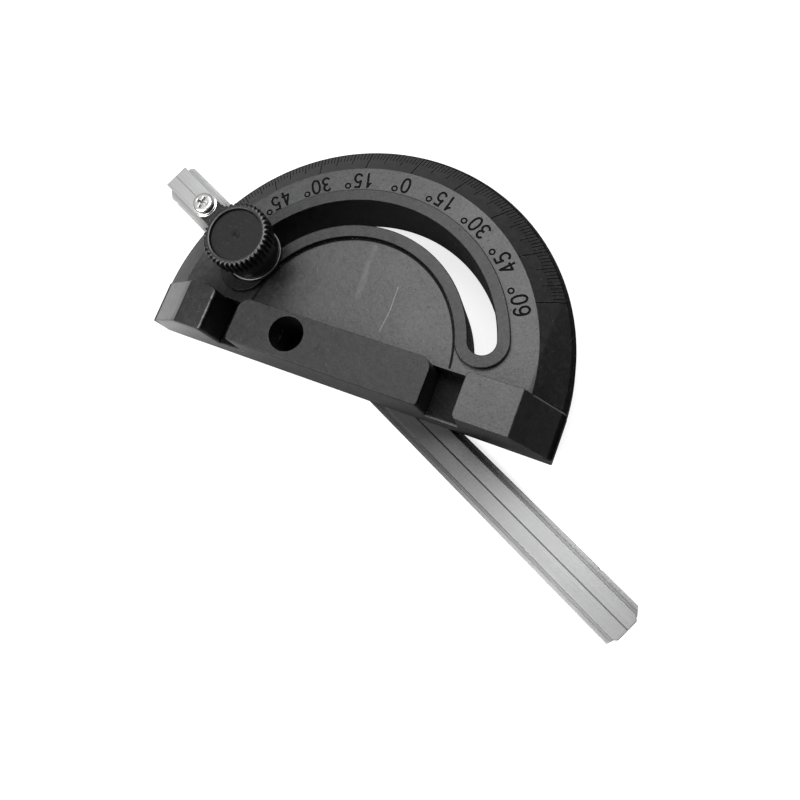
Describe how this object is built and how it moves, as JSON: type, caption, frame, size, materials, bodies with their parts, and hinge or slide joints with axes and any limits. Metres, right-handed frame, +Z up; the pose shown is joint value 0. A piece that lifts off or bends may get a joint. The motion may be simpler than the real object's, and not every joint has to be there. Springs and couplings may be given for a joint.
{
  "type": "mitre gauge",
  "caption": "Half-round protractor head with fence, pivoting on a T-section guide bar and locked by a ribbed clamping knob through an arc slot, with a pointer.",
  "frame": {"origin": "on the head's pivot axis, at the underside of the guide bar", "axes": "+X along the guide bar towards the operator's end, +Z up from the machine table, +Y across the bar; the fence is turned 25 degrees from square to the drawn pose"},
  "size_m": [0.25, 0.1257, 0.0488],
  "materials": {
    "bar_aluminium": "drawn, with fine lines along the bar and a few handling nicks",
    "head_plastic": "moulded, satin, scuffed and scratched with use",
    "zinc_steel": "bright zinc plate",
    "insert_brass": "turned",
    "nylon": "natural",
    "pointer_plastic": "moulded, satin",
    "knob_plastic": "moulded, semi-gloss",
    "cap_plastic": "moulded, fine texture",
    "washer_steel": "dark plated, rolled edge",
    "black_steel": "black oxide"
  },
  "bodies": {
    "bar": {"guide_bar": "bar_aluminium", "pivot_washer": "nylon", "pointer": "pointer_plastic", "pointer_washer": "zinc_steel", "pointer_screw": "zinc_steel"},
    "head": {"protractor_head": "head_plastic", "pivot_screw": "zinc_steel", "pivot_insert": "insert_brass", "rod_set_screw": "black_steel", "set_screw_insert": "insert_brass"},
    "clamp_washer": {"knob_washer": "washer_steel"},
    "knob": {"knob_body": "knob_plastic", "knob_cap": "cap_plastic", "knob_stud": "zinc_steel"}
  },
  "joints": [
    {"name": "head_swivel", "type": "hinge", "parent": "bar", "child": "head", "pos_m": [0, 0, 0], "axis": [0, 0, 1], "range_deg": [-9, 139]},
    {"name": "knob_lift", "type": "slide", "parent": "bar", "child": "clamp_washer", "axis": [0, 0, 1], "range_m": [0, 0.0015]},
    {"name": "knob_turn", "type": "hinge", "parent": "clamp_washer", "child": "knob", "pos_m": [-0.0489, 0, 0.0316], "axis": [0, 0, 1], "range_deg": [0, 540]}
  ],
  "couplings": [
    {"joint": "knob_turn", "follows": "knob_lift", "rad_per_m": 6283.2}
  ]
}
